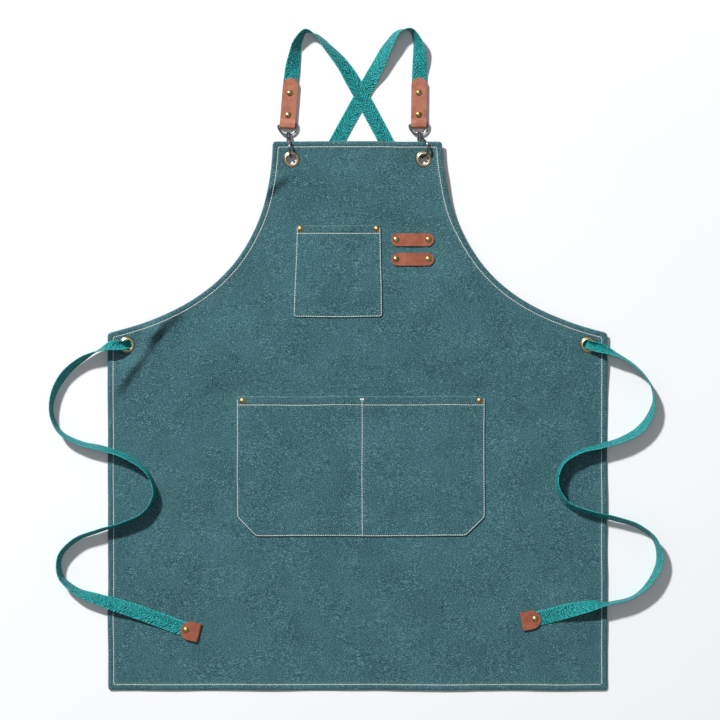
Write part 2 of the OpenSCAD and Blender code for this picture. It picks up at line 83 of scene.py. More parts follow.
# Strap routes: x, y, height of what it lies on, roll in degrees, fold. Roll turns the
# webbing about its run, 90 standing on edge. Fold 1 is curled lengthwise, 0 is flat.
LEFT_ROUTE = (
    (-0.0945, 0.4075, IN_TAB, 0, 0), (-0.0903, 0.4615, IN_TAB, 0, 0),
    (-0.0865, 0.486, 0.0008, 30, 0), (-0.08, 0.512, 0.0002, 60, 0),
    (-0.07, 0.524, 0.0001, 80, 0), (-0.057, 0.519, 0.0001, 98, 0),
    (-0.04, 0.501, 0.0002, 124, 0), (-0.02, 0.478, 0.0018, 148, 0),
    (-0.004, 0.452, 0.0028, 170, 0), (0.015, 0.418, 0.0025, 178, 0),
    (0.039, 0.374, 0.0001, 180, 0), (0.072, 0.305, 0.0001, 180, 0),
    (0.118, 0.226, 0.0001, 180, 0), (0.19, 0.155, 0.0001, 180, 0),
    (0.27, 0.112, 0.0001, 180, 0), (0.302, 0.1005, 0.0001, 180, 1),
    (0.31, 0.098, 0.0003, 180, 1), (0.314, 0.097, 0.0035, 180, 1),
    (0.318, 0.096, 0.0068, 180, 1), (0.326, 0.093, 0.007, 165, 0.9),
    (0.34, 0.0875, 0.0062, 122, 0.6), (0.36, 0.079, 0.0024, 102, 0.1),
    (0.381, 0.065, 0.0003, 98, 0), (0.397, 0.045, 0.0001, 95, 0),
    (0.403, 0.024, 0.0001, 88, 0), (0.398, 0.001, 0.0001, 70, 0),
    (0.383, -0.019, 0.0001, 63, 0), (0.358, -0.0325, 0.0014, 70, 0),
    (0.33, -0.041, ON_HEM, 74, 0), (0.3, -0.0495, ON_HEM, 79, 0),
    (0.278, -0.066, ON_HEM, 82, 0), (0.271, -0.09, ON_HEM, 80, 0),
    (0.284, -0.118, ON_HEM, 71, 0), (0.315, -0.131, ON_HEM, 72, 0),
    (0.35, -0.1395, ON_HEM, 70, 0), (0.384, -0.151, 0.0001, 74, 0),
    (0.405, -0.169, 0.0001, 75, 0), (0.411, -0.194, 0.0001, 68, 0),
    (0.401, -0.221, 0.0001, 73, 0), (0.376, -0.245, 0.0002, 86, 0),
    (0.344, -0.254, ON_HEM, 84, 0), (0.318, -0.258, ON_HEM, 48, 0),
    (0.285, -0.2655, ON_HEM, 18, 0), (0.257, -0.2731, IN_TIP, 0, 0),
    (0.229, -0.2786, IN_TIP, 0, 0),
)
RIGHT_ROUTE = (
    (0.0833, 0.408, IN_TAB, 0, 0), (0.084, 0.462, IN_TAB, 0, 0),
    (0.0845, 0.486, 0.0008, -22, 0), (0.081, 0.512, 0.0002, -58, 0),
    (0.072, 0.5255, 0.0001, -82, 0), (0.058, 0.524, 0.0001, -102, 0),
    (0.043, 0.5055, 0.0001, -128, 0), (0.026, 0.4735, 0.0001, -154, 0),
    (0.012, 0.447, 0.0001, -176, 0), (-0.005, 0.416, 0.0001, -180, 0),
    (-0.028, 0.374, 0.0001, -180, 0), (-0.062, 0.312, 0.0001, -180, 0),
    (-0.112, 0.232, 0.0001, -180, 0), (-0.186, 0.157, 0.0001, -180, 0),
    (-0.268, 0.1125, 0.0001, -180, 0), (-0.302, 0.1005, 0.0001, -180, 1),
    (-0.31, 0.098, 0.0003, -180, 1), (-0.314, 0.097, 0.0035, -180, 1),
    (-0.318, 0.0963, 0.0068, -180, 1), (-0.327, 0.0953, 0.007, -155, 0.8),
    (-0.34, 0.0933, 0.0062, -120, 0.4), (-0.355, 0.088, 0.003, -92, 0.1),
    (-0.376, 0.0765, 0.0005, -70, 0), (-0.399, 0.056, 0.0001, -63, 0),
    (-0.413, 0.031, 0.0001, -71, 0), (-0.4165, 0.006, 0.0001, -79, 0),
    (-0.405, -0.021, 0.0001, -78, 0), (-0.378, -0.0365, 0.0001, -74, 0),
    (-0.346, -0.044, ON_HEM, -72, 0), (-0.312, -0.0565, ON_HEM, -73, 0),
    (-0.285, -0.078, ON_HEM, -79, 0), (-0.276, -0.104, ON_HEM, -80, 0),
    (-0.289, -0.13, ON_HEM, -82, 0), (-0.318, -0.145, ON_HEM, -82, 0),
    (-0.352, -0.156, 0.0014, -76, 0), (-0.386, -0.17, 0.0001, -74, 0),
    (-0.405, -0.192, 0.0001, -75, 0), (-0.404, -0.217, 0.0001, -73, 0),
    (-0.384, -0.237, 0.0001, -65, 0), (-0.352, -0.2495, 0.0014, -43, 0),
    (-0.31, -0.263, ON_HEM, -20, 0), (-0.272, -0.2765, ON_HEM, -8, 0),
    (-0.247, -0.286, IN_TIP, 0, 0), (-0.22, -0.2943, IN_TIP, 0, 0),
)

# ---------- numbers and fields ----------


def unit(v):
    """The vectors, each made one long."""
    return v / np.maximum(np.linalg.norm(v, axis=-1, keepdims=True), 1e-12)


def ease(x, low, high):
    """0 below low, 1 above high, and smooth between."""
    t = np.clip((x - low) / (high - low), 0, 1)
    return t * t * (3 - 2 * t)


def noise(x, y, size, seed):
    """Smooth seeded noise from 0 to 1, with bumps of about that size."""
    cells = 64
    lattice = np.random.default_rng(seed).random((cells, cells))
    u, v = x / size + 512.5, y / size + 512.5
    i, j = np.floor(u).astype(int), np.floor(v).astype(int)
    a, b = ease(u - i, 0, 1), ease(v - j, 0, 1)

    def corner(di, dj):
        return lattice[(i + di) % cells, (j + dj) % cells]

    low = corner(0, 0) * (1 - a) + corner(1, 0) * a
    high = corner(0, 1) * (1 - a) + corner(1, 1) * a
    return low * (1 - b) + high * b


def segment_distance(x, y, a, b):
    """Distance from each point to the segment a to b."""
    (ax, ay), (bx, by) = a, b
    dx, dy = bx - ax, by - ay
    t = np.clip(((x - ax) * dx + (y - ay) * dy) / (dx * dx + dy * dy), 0, 1)
    return np.hypot(x - ax - t * dx, y - ay - t * dy)


def edge_distance(x, y, corners):
    """Distance from each point to the nearest side of the outline."""
    far = np.full(np.shape(x), 1.0)
    for a, b in zip(corners, np.roll(corners, -1, 0)):
        far = np.minimum(far, segment_distance(x, y, a, b))
    return far


def inside(x, y, corners):
    """Which points lie in the polygon."""
    crossings = np.zeros(np.shape(x), int)
    for (ax, ay), (bx, by) in zip(corners, np.roll(corners, -1, 0)):
        if ay != by:
            spans = (ay > y) != (by > y)
            crossings += spans & (x < ax + (y - ay) * (bx - ax) / (by - ay))
    return crossings % 2 == 1


def near(x, y, places, low, high):
    """0 within low of any of the places, 1 beyond high of all."""
    keep = np.ones(np.shape(x))
    for px, py in places:
        keep = keep * ease(np.hypot(x - px, y - py), low, high)
    return keep


# ---------- outlines ----------


def panel_corners():
    """The panel's outline, anticlockwise, with the armholes as short straight sides."""
    arm = np.array([(BIB_HALF, HALF_L), (BIB_HALF + 0.005, HALF_L - 0.1585),
                    (0.205, WAIST_Y + 0.032), (HALF_W, WAIST_Y)])
    steps = 24
    t = np.linspace(0, 1, steps + 1)[::-1, None]
    curve = ((1 - t) ** 3 * arm[0] + 3 * (1 - t) ** 2 * t * arm[1]
             + 3 * (1 - t) * t * t * arm[2] + t ** 3 * arm[3])
    right = np.vstack([[(HALF_W, -HALF_L)], curve])
    left = right[::-1] * (-1, 1)
    return np.vstack([right, left])


PANEL = panel_corners()
CHEST = np.array(CHEST_CORNERS)
LOWER = np.array([
    (LOWER_LEFT + LOWER_CUT, LOWER_BOTTOM), (LOWER_RIGHT - LOWER_CUT, LOWER_BOTTOM),
    (LOWER_RIGHT, LOWER_BOTTOM + LOWER_CUT), (LOWER_RIGHT, LOWER_TOP),
    (LOWER_LEFT, LOWER_TOP), (LOWER_LEFT, LOWER_BOTTOM + LOWER_CUT)])


def inset(corners, d):
    """The outline moved inwards by d, with mitred corners."""
    before = unit(corners - np.roll(corners, 1, 0))
    after = unit(np.roll(corners, -1, 0) - corners)
    n0 = np.stack([-before[:, 1], before[:, 0]], 1)
    n1 = np.stack([-after[:, 1], after[:, 0]], 1)
    return corners + d * (n0 + n1) / (1 + (n0 * n1).sum(1, keepdims=True))


def ring(corners, d, step, rounding=2):
    """Evenly spaced points round the outline moved inwards by d, with rounded corners.
    Every d gives the same number of points."""
    sides = np.linalg.norm(np.roll(corners, -1, 0) - corners, axis=1)
    moved = inset(corners, d)
    points = np.vstack([
        a + (b - a) * (np.arange(n) / n)[:, None]
        for a, b, n in zip(moved, np.roll(moved, -1, 0), np.maximum(1, np.round(sides / step)))])
    for _ in range(rounding):
        points = (np.roll(points, 1, 0) + 2 * points + np.roll(points, -1, 0)) / 4
    return points


# ---------- mesh helpers ----------


def mesh_piece(name, points, faces, material, body="apron"):
    """A smooth-shaded piece that rides on a body."""
    mesh = bpy.data.meshes.new(name)
    mesh.from_pydata(points.tolist(), [], faces)
    mesh.polygons.foreach_set("use_smooth", [True] * len(mesh.polygons))
    mesh.materials.append(material)
    piece = bpy.data.objects.new(name, mesh)
    bpy.context.scene.collection.objects.link(piece)
    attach(piece, body)
    return piece


def tube_faces(rings, sides):
    """Quads round a tube of rings, and a face at each end."""
    i = sides * np.arange(rings - 1)[:, None]
    j = np.arange(sides)[None]
    k = (j + 1) % sides
    quads = np.stack([i + j, i + k, i + sides + k, i + sides + j], -1).reshape(-1, 4)
    ends = [list(range(sides - 1, -1, -1)),
            list(range(sides * (rings - 1), sides * rings))]
    return quads.tolist() + ends


# ---------- materials ----------


def srgb(text, alpha=1.0):
    """The linear colour of a web colour such as "#8c4a33"."""
    parts = [int(text[i:i + 2], 16) / 255 for i in (1, 3, 5)]
    linear = (c / 12.92 if c < 0.04045 else ((c + 0.055) / 1.055) ** 2.4 for c in parts)
    return tuple(linear) + (alpha,)


class Nodes:
    """A material's node tree, with short calls to add to it."""

    def __init__(self, name, **values):
        self.material = bpy.data.materials.new(name)
        self.material.use_nodes = True
        self.tree = self.material.node_tree
        self.shader = self.tree.nodes["Principled BSDF"]
        for socket, value in values.items():
            self.shader.inputs[socket.replace("_", " ")].default_value = value
        self.place = self.add("ShaderNodeTexCoord").outputs["Object"]

    def add(self, kind, **settings):
        node = self.tree.nodes.new(kind)
        for key, value in settings.items():
            setattr(node, key, value)
        return node

    def link(self, a, b):
        self.tree.links.new(a, b)

    def noise(self, size, detail=2.0, roughness=0.5, stretch=None):
        """Noise with features of about that size in metres."""
        node = self.add("ShaderNodeTexNoise")
        node.inputs["Scale"].default_value = 1 / size
        node.inputs["Detail"].default_value = detail
        node.inputs["Roughness"].default_value = roughness
        place = self.place
        if stretch:
            mapping = self.add("ShaderNodeMapping")
            mapping.inputs["Scale"].default_value = stretch
            self.link(self.place, mapping.inputs["Vector"])
            place = mapping.outputs["Vector"]
        self.link(place, node.inputs["Vector"])
        return node.outputs["Fac"]

    def ramp(self, value, stops):
        """Colours by value: stops are (place, colour) pairs."""
        node = self.add("ShaderNodeValToRGB")
        ramp = node.color_ramp
        while len(ramp.elements) < len(stops):
            ramp.elements.new(0.5)
        for element, (at, colour) in zip(ramp.elements, stops):
            element.position = at
            element.color = srgb(colour) if isinstance(colour, str) else (colour, colour, colour, 1)
        self.link(value, node.inputs["Fac"])
        return node.outputs["Color"]

    def mix(self, a, b, factor, kind="MIX"):
        node = self.add("ShaderNodeMix", data_type="RGBA", blend_type=kind)
        for value, socket in ((factor, node.inputs[0]), (a, node.inputs[6]), (b, node.inputs[7])):
            if isinstance(value, bpy.types.NodeSocket):
                self.link(value, socket)
            elif isinstance(value, str):
                socket.default_value = srgb(value)
            else:
                socket.default_value = value
        return node.outputs[2]

    def math(self, kind, a, b=0.0):
        node = self.add("ShaderNodeMath", operation=kind)
        for value, socket in ((a, node.inputs[0]), (b, node.inputs[1])):
            if isinstance(value, bpy.types.NodeSocket):
                self.link(value, socket)
            else:
                socket.default_value = value
        return node.outputs[0]

    def waves(self, pitch, axis):
        """Threads across the given axis, from 0 to 1, at that pitch in metres."""
        node = self.add("ShaderNodeTexWave", bands_direction=axis)
        node.inputs["Scale"].default_value = 0.314 / pitch
        node.inputs["Distortion"].default_value = 0.6
        node.inputs["Detail"].default_value = 1.0
        self.link(self.place, node.inputs["Vector"])
        return node.outputs["Fac"]

    def attribute(self, name):
        return self.add("ShaderNodeAttribute", attribute_name=name).outputs

    def bump(self, height, distance, strength=1.0):
        node = self.add("ShaderNodeBump")
        node.inputs["Strength"].default_value = strength
        node.inputs["Distance"].default_value = distance
        self.link(height, node.inputs["Height"])
        for used in self.shader.inputs["Normal"].links:
            self.link(used.from_socket, node.inputs["Normal"])
        self.link(node.outputs["Normal"], self.shader.inputs["Normal"])

    def colour(self, socket):
        self.link(socket, self.shader.inputs["Base Color"])

    def rough(self, value, low, high):
        node = self.add("ShaderNodeMapRange")
        node.inputs["To Min"].default_value = low
        node.inputs["To Max"].default_value = high
        self.link(value, node.inputs["Value"])
        self.link(node.outputs["Result"], self.shader.inputs["Roughness"])


def canvas_material():
    """Washed canvas: fine flecks, softer mottling, a plain weave, and pale wear along edges."""
    m = Nodes("canvas", Roughness=0.92, Specular_IOR_Level=0.2, Sheen_Weight=0.1,
              Sheen_Roughness=0.5)
    fleck = m.noise(0.0009, 1.0, 0.6)
    streak = m.noise(0.0009, 1.0, 0.6, stretch=(0.45, 1.0, 1.0))
    mottle = m.noise(0.006, 3.0, 0.6)
    cloud = m.noise(0.07, 3.0, 0.6)
    slub = m.noise(0.0016, 2.0, 0.6)
    wear = m.attribute("wear")["Fac"]
    grain = m.math("ADD", m.math("MULTIPLY", fleck, 0.5), m.math("MULTIPLY", streak, 0.5))
    base = m.ramp(grain, [(0.34, "#071c20"), (0.45, "#275057"), (0.54, "#3d6f78"),
                          (0.67, "#95bcbf")])
    base = m.mix(base, m.ramp(mottle, [(0.35, "#2a5057"), (0.65, "#48757a")]), 0.16)
    base = m.mix(base, m.ramp(cloud, [(0.35, "#28494f"), (0.65, "#467277")]), 0.25)
    base = m.mix(base, "#7b9b9b", m.math("MULTIPLY", wear, m.math("ADD", slub, 0.1)))
    m.colour(base)
    m.rough(slub, 0.82, 0.97)
    m.bump(m.noise(0.0014, 2.0, 0.6), 0.0007, 1.0)
    m.bump(m.math("ADD", m.waves(0.0009, "X"), m.waves(0.00075, "Y")), 0.0001, 0.7)
    return m.material


def thread_material(name, light, dark):
    m = Nodes(name, Roughness=0.8, Specular_IOR_Level=0.3, Sheen_Weight=0.1)
    m.colour(m.ramp(m.noise(0.003, 2.0), [(0.3, dark), (0.65, light)]))
    m.bump(m.noise(0.0004, 1.0), 0.0001, 0.5)
    return m.material


def webbing_material():
    """Herringbone webbing, with a painted highlight along both edges."""
    m = Nodes("webbing", Roughness=0.6, Specular_IOR_Level=0.35, Sheen_Weight=0.04,
              Sheen_Roughness=0.4)
    weave = m.attribute("weave")["Vector"]
    parts = m.add("ShaderNodeSeparateXYZ")
    m.link(weave, parts.inputs[0])
    along, across = parts.outputs["X"], parts.outputs["Y"]
    drift = m.math("MULTIPLY", m.noise(0.005, 2.0), 0.009)
    slant = m.math("ADD", m.math("ADD", along, m.math("ABSOLUTE", across)), drift)
    rib = m.math("SINE", m.math("MULTIPLY", slant, 2 * math.pi / 0.0042))
    rib = m.math("ADD", m.math("MULTIPLY", rib, 0.5), 0.5)
    cords = m.math("SINE", m.math("MULTIPLY", across, 2 * math.pi / 0.0012))
    cords = m.math("ADD", m.math("MULTIPLY", cords, 0.5), 0.5)
    pick = m.math("ADD", m.math("MULTIPLY", rib, 0.65), m.math("MULTIPLY", cords, 0.35))
    coarse = m.noise(0.0016, 2.0, 0.7)
    pick = m.math("ADD", m.math("MULTIPLY", pick, 0.28), m.math("MULTIPLY", coarse, 0.72))
    base = m.ramp(pick, [(0.34, "#00474c"), (0.45, "#047a7c"), (0.55, "#0b9597"),
                         (0.68, "#34c6c3")])
    # painted highlight: a paler band along both edges of the webbing stands in for the light its
    # edges catch
    edge = m.math("GREATER_THAN", m.math("ABSOLUTE", across), 0.43 * WEB_W)
    base = m.mix(base, "#33bbb6", m.math("MULTIPLY", edge, 0.55))
    m.colour(base)
    m.rough(pick, 0.72, 0.5)
    m.bump(coarse, 0.0012, 1.0)
    m.bump(rib, 0.0007, 1.0)
    m.bump(m.noise(0.0003, 1.0), 0.00005, 0.4)
    return m.material


def leather_material(name, dark, middle, light):
    m = Nodes(name, Roughness=0.5, Specular_IOR_Level=0.4)
    tone = m.noise(0.012, 3.0, 0.6)
    grain = m.noise(0.0009, 4.0, 0.65)
    base = m.ramp(tone, [(0.3, dark), (0.5, middle), (0.72, light)])
    base = m.mix(base, "#62342a", m.math("MULTIPLY", grain, 0.3))
    m.colour(base)
    m.rough(grain, 0.62, 0.42)
    m.bump(m.noise(0.006, 2.0), 0.0008, 0.4)
    m.bump(grain, 0.00025, 0.5)
    return m.material


def brass_material(name, worn):
    """Antique brass. Where it is worn, a mesh's "polish" says how bright it is rubbed."""
    m = Nodes(name, Metallic=1.0, Roughness=0.35)
    patina = m.noise(0.004, 3.0, 0.6)
    base = m.ramp(patina, [(0.3, "#75603c"), (0.5, "#b59a66"), (0.7, "#e0cfa0")])
    if worn:
        base = m.mix(m.mix(base, "#2e1e0e", 0.85), "#f0dfb4", m.attribute("polish")["Fac"])
    m.colour(base)
    m.rough(patina, 0.45, 0.26)
    m.bump(m.noise(0.0007, 2.0), 0.00006, 0.4)
    return m.material


def nickel_material():
    m = Nodes("polished_nickel", Metallic=1.0, Roughness=0.2)
    smear = m.noise(0.005, 3.0, 0.6)
    m.colour(m.ramp(smear, [(0.3, "#606366"), (0.7, "#9da0a3")]))
    m.rough(smear, 0.3, 0.16)
    m.bump(m.noise(0.0015, 2.0), 0.00004, 0.35)
    return m.material


CANVAS = canvas_material()
TOPSTITCH = thread_material("topstitch_thread", "#f7faf8", "#c6d2ce")
WEBBING = webbing_material()
LEATHER = leather_material("leather", "#8c4a33", "#a0583f", "#b0684b")
# a lighter copy of the leather, for the hook tabs
LIGHTER_LEATHER = leather_material("lighter_leather", "#9c5f49", "#b06e56", "#c08066")
BRASS = brass_material("antique_brass", False)
WORN_BRASS = brass_material("worn_brass", True)
NICKEL = nickel_material()

# ---------- camera ----------

# The view is 0.981 m wide on the floor, a little towards the bib
CAMERA_AT = (0.0034, 0.0763, 5.0)
VIEW_W = 0.981

camera = bpy.data.objects.new("camera", bpy.data.cameras.new("camera"))
camera.data.sensor_width = 36
camera.data.lens = 36 * CAMERA_AT[2] / VIEW_W
camera.location = CAMERA_AT
camera.data.clip_start = 0.1
camera.data.clip_end = 20
bpy.context.scene.collection.objects.link(camera)
bpy.context.scene.camera = camera

# ---------- straps ----------

TURN = math.radians(200)  # how far round the webbing curls where it is fully folded
EYELET_GAP = 0.0034  # room for the curl between the floor and the panel's underside
RING_STEP = 0.0011
SECTION_POINTS = 15  # across each face of the webbing
TAB_ENTRY = 0.028  # how far the webbing reaches into its hook tab


def spline(t, known_t, known, monotone):
    """Cubic curve through the known values; a monotone one doesn't overshoot."""
    gap = np.diff(known_t)
    slope = np.diff(known, axis=0) / gap[:, None]
    before, after = slope[:-1], slope[1:]
    if monotone:
        total = before + after
        safe = np.where(total == 0, 1, total)
        middle = np.where(before * after > 0, 2 * before * after / safe, 0)
    else:
        g0, g1 = gap[:-1, None], gap[1:, None]
        middle = (before * g1 + after * g0) / (g0 + g1)
    tangent = np.vstack([slope[:1], middle, slope[-1:]])
    i = np.clip(np.searchsorted(known_t, t, side="right") - 1, 0, len(gap) - 1)
    h = gap[i]
    s = ((t - known_t[i]) / h)[:, None]
    h = h[:, None]
    return ((1 + 2 * s) * (1 - s) ** 2 * known[i] + s * (1 - s) ** 2 * h * tangent[i]
            + s * s * (3 - 2 * s) * known[i + 1] - s * s * (1 - s) * h * tangent[i + 1])


def section(count):
    """Places round a strap's section: across from -1 to 1 and the side, -1 or 1."""
    s = np.sin(np.linspace(-1, 1, count) * math.pi / 2 * 0.97)
    s = s / s[-1]
    return np.concatenate([s, s[::-1]]), np.concatenate([-np.ones(count), np.ones(count)])


def strap_path(route):
    """The route resampled: x, y, rest height, roll, fold and the length so far."""
    known = np.array(route, float)
    t = np.concatenate([[0], np.cumsum(np.linalg.norm(np.diff(known[:, :2], axis=0), axis=1))])
    entry = t[1] - TAB_ENTRY
    dense = np.arange(entry, t[-1], RING_STEP)
    xy = spline(dense, t, known[:, :2], False)
    rest = spline(dense, t, known[:, 2:], True)
    return np.hstack([xy, rest]), dense - entry


def build_strap(name, route, hidden):
    """One strap along its route, twisting with its roll and curling lengthwise where folded."""
    path, along = strap_path(route)
    roll, fold = np.radians(path[:, 3]), np.clip(path[:, 4], 0, 1)
    turn = np.maximum(TURN * fold, 0.02)
    radius = WEB_W / turn
    deep = radius * (1 - np.cos(turn / 2))
    under = (path[:, 2] < 0.002) & (fold > 0.05)
    flatten = np.where(under, np.minimum(1, (EYELET_GAP - WEB_T) / np.maximum(deep, 1e-6)), 1.0)
    blur = np.hanning(9)
    flatten = np.convolve(np.pad(flatten, 4, mode="edge"), blur / blur.sum(), "valid")
    deep = deep * flatten
    half_w = np.where(turn > math.pi, radius, radius * np.sin(np.minimum(turn, math.pi) / 2))
    half_h = deep / 2 + WEB_T / 2
    lift = np.abs(half_w * np.sin(roll)) + np.abs(half_h * np.cos(roll))
    centre = np.column_stack([path[:, :2], path[:, 2] + lift])

    run = unit(np.gradient(centre, axis=0))
    across = unit(np.cross([0, 0, 1], run))
    up = np.cross(run, across)
    wide = np.cos(roll)[:, None] * across + np.sin(roll)[:, None] * up
    face = np.cross(run, wide)

    s, side = section(SECTION_POINTS)
    angle = turn[:, None] / 2 * s
    arc_x = radius[:, None] * np.sin(angle)
    arc_y = radius[:, None] * (1 - np.cos(angle)) * flatten[:, None] - deep[:, None] / 2
    edge = (1 - np.abs(s) ** 14) ** 0.5
    thick = side * WEB_T / 2 * (0.12 + 0.88 * edge)
    normal_x, normal_y = -np.sin(angle), np.cos(angle)
    # the curl opens away from the strap's face
    a = arc_x + normal_x * thick
    b = -(arc_y + normal_y * thick)
    points = (centre[:, None] + a[..., None] * wide[:, None] + b[..., None] * face[:, None])
    count, sides = len(path), len(s)
    piece = mesh_piece(name, points.reshape(-1, 3), tube_faces(count, sides), WEBBING)
    weave = np.stack(np.broadcast_arrays(along[:, None], s * WEB_W / 2, 0.0), -1)
    layer = piece.data.attributes.new("weave", "FLOAT_VECTOR", "POINT")
    layer.data.foreach_set("vector", weave.reshape(-1).astype(np.float32))
    piece.data.update()
    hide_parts(hidden)
    return piece


build_strap("left_webbing", LEFT_ROUTE, "left_strap")
build_strap("right_webbing", RIGHT_ROUTE, "right_strap")

# ---------- the cloth's heights ----------

HARDWARE = BIB_EYELETS + WAIST_EYELETS + CHEST_RIVETS + LOWER_RIVETS + LOOP_RIVETS
EYELETS = BIB_EYELETS + WAIST_EYELETS
HEM_STITCH = 0.0076
# Height of the hem's face over its underside, by distance from the edge
HEM_E = (0, 0.0006, 0.0016, 0.0036, 0.0058, 0.0069, 0.0076, 0.0083, 0.0094, 0.0108)
HEM_TOP = (0.0007, 0.0013, 0.0018, 0.0021, 0.0019, 0.0015, 0.0011, 0.0014, 0.00125, 0.001)
HEM_UNDER = (0.0005, 0.0001, 0, 0, 0, 0, 0, 0, 0, 0)
# Folds in the panel: from, to, height of the raised side, which is on the right of the
# way there, width of the slope, and how far the raised part reaches
FOLDS = (
    ((-0.236, 0.141), (-0.284, 0.1), 0.0062, 0.014, 0.022),
    ((-0.258, 0.13), (-0.331, 0.02), 0.0078, 0.014, 0.025),
    ((-0.07, 0.347), (-0.14, 0.284), 0.006, 0.013, 0.022),
    ((-0.17, 0.06), (-0.27, -0.02), 0.0012, 0.022, 0.04),
    ((0.3, 0.06), (0.24, 0.0), 0.0014, 0.02, 0.03),
    ((0.31, 0.0), (0.3, -0.1), 0.0012, 0.016, 0.03),
    ((0.16, 0.2), (0.08, 0.12), 0.0014, 0.02, 0.03),
    ((0.2, 0.1), (0.1, 0.06), 0.0012, 0.02, 0.03),
    ((-0.12, 0.12), (-0.2, 0.1), 0.0014, 0.018, 0.03),
    ((0.0, -0.2), (0.03, -0.32), 0.001, 0.02, 0.04),
    ((-0.2, -0.18), (-0.27, -0.3), 0.001, 0.02, 0.04),
    ((0.27, -0.19), (0.2, -0.31), 0.001, 0.02, 0.04),
)


def underside(y):
    """The panel's underside, with its steps eased."""
    near_y = np.linspace(-0.007, 0.007, 7)
    return sum(np.interp(y + d, UNDERSIDE_Y, UNDERSIDE_Z) for d in near_y) / len(near_y)


def folds(x, y):
    """How far FOLDS raise each point."""
    total = np.zeros(np.shape(x))
    for (ax, ay), (bx, by), height, slope, reach in FOLDS:
        size = math.hypot(bx - ax, by - ay)
        dx, dy = (bx - ax) / size, (by - ay) / size
        t = ((x - ax) * dx + (y - ay) * dy) / size
        side = (x - ax) * dy - (y - ay) * dx
        raised = ease(side, -slope / 2, slope / 2) * np.exp(-(np.maximum(side, 0) / reach) ** 2)
        total += height * raised * ease(t, -0.1, 0.3) * (1 - ease(t, 0.7, 1.1))
    return total


def wrinkles(x, y):
    """Soft creases of washed cloth. They fade out beside the metal."""
    broad = 0.0016 * noise(x, y, 0.08, 1) + 0.001 * noise(x + 0.4 * y, y, 0.034, 2)
    fine = 0.0003 * noise(x, y, 0.014, 3)
    return (broad + fine + folds(x, y)) * near(x, y, HARDWARE, 0.012, 0.034)


def panel_face(x, y):
    """Height of the panel's face away from its hem."""
    return underside(y) + SHEET_T + wrinkles(x, y)


def panel_heights(x, y, e):
    """Face and underside of the panel, at distance e from its edge."""
    pressed = near(x, y, EYELETS, 0.0112, 0.015)
    low = underside(y) + wrinkles(x, y)
    hemmed = ease(e, 0.0005, 0.002) * (1 - ease(e, 0.009, 0.012))
    pucker = 0.0003 * (noise(x, y, 0.006, 5) - 0.5) * hemmed
    rise = (np.interp(e, HEM_E, HEM_TOP) - SHEET_T + pucker) * pressed
    return low + SHEET_T + rise, low + np.interp(e, HEM_E, HEM_UNDER)


# ---------- cloth pieces ----------

SEAM_OFFSETS = (-0.0016, -0.0008, 0, 0.0008, 0.0016)
STRAY = 0.0012  # twice the furthest that a point of cloth strays sideways
RIM_POINTS = 32  # round an eyelet's hole
EYELET_HOLE_R = 0.0086
PANEL_STEP, CHEST_STEP, LOWER_STEP = 0.0038, 0.0034, 0.0036  # between a sheet's points
OUTLINE_STEP = 0.003  # between the points of an outline, at most
EDGE_WEAR, HEM_WEAR, SEAM_WEAR = 0.45, 0.25, 0.2
SLIVER = 2e-10  # twice a triangle's area, in square metres


def seam_points(seams, step):
    """Rows of points along and beside each seam."""
    rows = []
    for a, b in seams:
        a, b = np.array(a), np.array(b)
        along = unit(b - a)
        side = np.array([-along[1], along[0]])
        t = np.linspace(0, 1, max(2, int(np.linalg.norm(b - a) / step)))[:, None]
        rows += [a + (b - a) * t + side * offset for offset in SEAM_OFFSETS]
    return np.vstack(rows) if rows else np.zeros((0, 2))


def fill(corners, inner, depth, step, holes, seams):
    """Triangles across the inside of a ring, with round holes and rows along seams."""
    lows, highs = inner.min(0), inner.max(0)
    ys = np.arange(lows[1], highs[1], step * 0.866)
    xs = np.arange(lows[0], highs[0], step)
    gx, gy = np.meshgrid(xs, ys)
    gx[1::2] += step / 2
    grid = np.column_stack([gx.ravel(), gy.ravel()])
    grid += 0.25 * step * (np.random.default_rng(7).random(grid.shape) - 0.5)
    keep = inside(grid[:, 0], grid[:, 1], inset(corners, depth + step * 0.6))
    for a, b in seams:
        keep &= segment_distance(grid[:, 0], grid[:, 1], a, b) > SEAM_OFFSETS[-1] + step * 0.4
    rims = []
    for (hx, hy), radius in holes:
        keep &= np.hypot(grid[:, 0] - hx, grid[:, 1] - hy) > radius + step * 0.6
        a = np.linspace(0, 2 * math.pi, RIM_POINTS, endpoint=False)
        rims.append(np.column_stack([hx + radius * np.cos(a), hy + radius * np.sin(a)]))
    rows = seam_points(seams, step)
    if len(rows):
        rows = rows[inside(rows[:, 0], rows[:, 1], inset(corners, depth + 0.0008))]
    points = np.vstack([inner] + rims + [rows, grid[keep]])
    edges, start = [], 0
    for loop in [inner] + rims:
        n = len(loop)
        edges += [(start + i, start + (i + 1) % n) for i in range(n)]
        start += n
    out, _, faces, _, _, _ = geometry.delaunay_2d_cdt(
        [Vector(p) for p in points.tolist()], edges, [], 0, 1e-9)
    assert len(out) == len(points)
    faces = np.array(faces)
    middle = points[faces].mean(1)
    one, two = points[faces[:, 1]] - points[faces[:, 0]], points[faces[:, 2]] - points[faces[:, 0]]
    # slivers along the straight sides are dropped, and so is all that lies outside
    good = inside(middle[:, 0], middle[:, 1], inner)
    good &= np.abs(one[:, 0] * two[:, 1] - one[:, 1] * two[:, 0]) > SLIVER
    for (hx, hy), radius in holes:
        good &= np.hypot(middle[:, 0] - hx, middle[:, 1] - hy) > radius * 0.999
    return points, faces[good], [len(r) for r in rims]


def drift(flat):
    """How far each point strays sideways, as cut and sewn cloth does. Nothing strays near metal."""
    x, y = flat.T
    stray = np.column_stack([noise(x, y, 0.05, seed) - 0.5 for seed in (11, 12)])
    return STRAY * stray * near(x, y, HARDWARE, 0.014, 0.04)[:, None]


